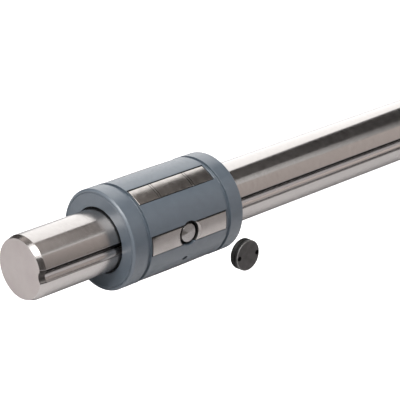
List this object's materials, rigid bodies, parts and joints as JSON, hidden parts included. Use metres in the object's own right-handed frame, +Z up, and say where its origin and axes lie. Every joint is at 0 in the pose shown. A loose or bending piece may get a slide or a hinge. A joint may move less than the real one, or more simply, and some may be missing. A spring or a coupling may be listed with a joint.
{
  "type": "torque-resistant linear bushing",
  "caption": "Closed linear ball bushing in a plastic sleeve with steel plates, on a grooved round shaft, with its adjusting screw taken out.",
  "frame": {"origin": "centre of the bushing, on the shaft's axis", "axes": "+X along the shaft to its far end, +Z up, and the torque plate faces -Y"},
  "size_m": [0.25, 0.0704, 0.04],
  "materials": {
    "ground_steel": "ground and polished",
    "grey_plastic": "moulded satin",
    "dark_plastic": "moulded satin",
    "black_rubber": "matt",
    "plain_steel": "stamped, bright",
    "plate_steel": "ground, hardened",
    "turned_steel": "turned face",
    "ball_steel": "polished",
    "black_steel": "black oxide, satin"
  },
  "bodies": {
    "bushing": {"outer_sleeve": "grey_plastic", "front_end_ring": "grey_plastic", "rear_end_ring": "grey_plastic", "front_wiper_seal": "black_rubber", "rear_wiper_seal": "black_rubber", "front_holding_ring": "plain_steel", "rear_holding_ring": "plain_steel", "ball_retainer": "dark_plastic", "torque_ball_circuit": "ball_steel", "ball_circuit_1": "ball_steel", "ball_circuit_2": "ball_steel", "ball_circuit_3": "ball_steel", "ball_circuit_4": "ball_steel", "ball_circuit_5": "ball_steel", "torque_plate": "plate_steel", "thrust_disc": "turned_steel"},
    "shaft": {"shaft": "ground_steel"},
    "load_plate_1": {"load_plate_1": "plate_steel"},
    "load_plate_2": {"load_plate_2": "plate_steel"},
    "load_plate_3": {"load_plate_3": "plate_steel"},
    "load_plate_4": {"load_plate_4": "plate_steel"},
    "load_plate_5": {"load_plate_5": "plate_steel"},
    "adjusting_screw": {"adjusting_screw": "black_steel"}
  },
  "joints": [
    {"name": "shaft_slide", "type": "slide", "parent": "bushing", "child": "shaft", "axis": [1, 0, 0], "range_m": [-0.15, 0.035]},
    {"name": "load_plate_1_rock", "type": "hinge", "parent": "bushing", "child": "load_plate_1", "pos_m": [0, -0.01, -0.01732], "axis": [0, 0.866, -0.5], "range_deg": [-0.5, 0.5]},
    {"name": "load_plate_2_rock", "type": "hinge", "parent": "bushing", "child": "load_plate_2", "pos_m": [0, 0.01, -0.01732], "axis": [0, 0.866, 0.5], "range_deg": [-0.5, 0.5]},
    {"name": "load_plate_3_rock", "type": "hinge", "parent": "bushing", "child": "load_plate_3", "pos_m": [0, 0.02, 0], "axis": [0, 0, 1], "range_deg": [-0.5, 0.5]},
    {"name": "load_plate_4_rock", "type": "hinge", "parent": "bushing", "child": "load_plate_4", "pos_m": [0, 0.01, 0.01732], "axis": [0, -0.866, 0.5], "range_deg": [-0.5, 0.5]},
    {"name": "load_plate_5_rock", "type": "hinge", "parent": "bushing", "child": "load_plate_5", "pos_m": [0, -0.01, 0.01732], "axis": [0, -0.866, -0.5], "range_deg": [-0.5, 0.5]},
    {"name": "adjusting_screw_travel", "type": "slide", "parent": "bushing", "child": "adjusting_screw", "axis": [0, 1, 0], "range_m": [0, 0.02665]}
  ]
}
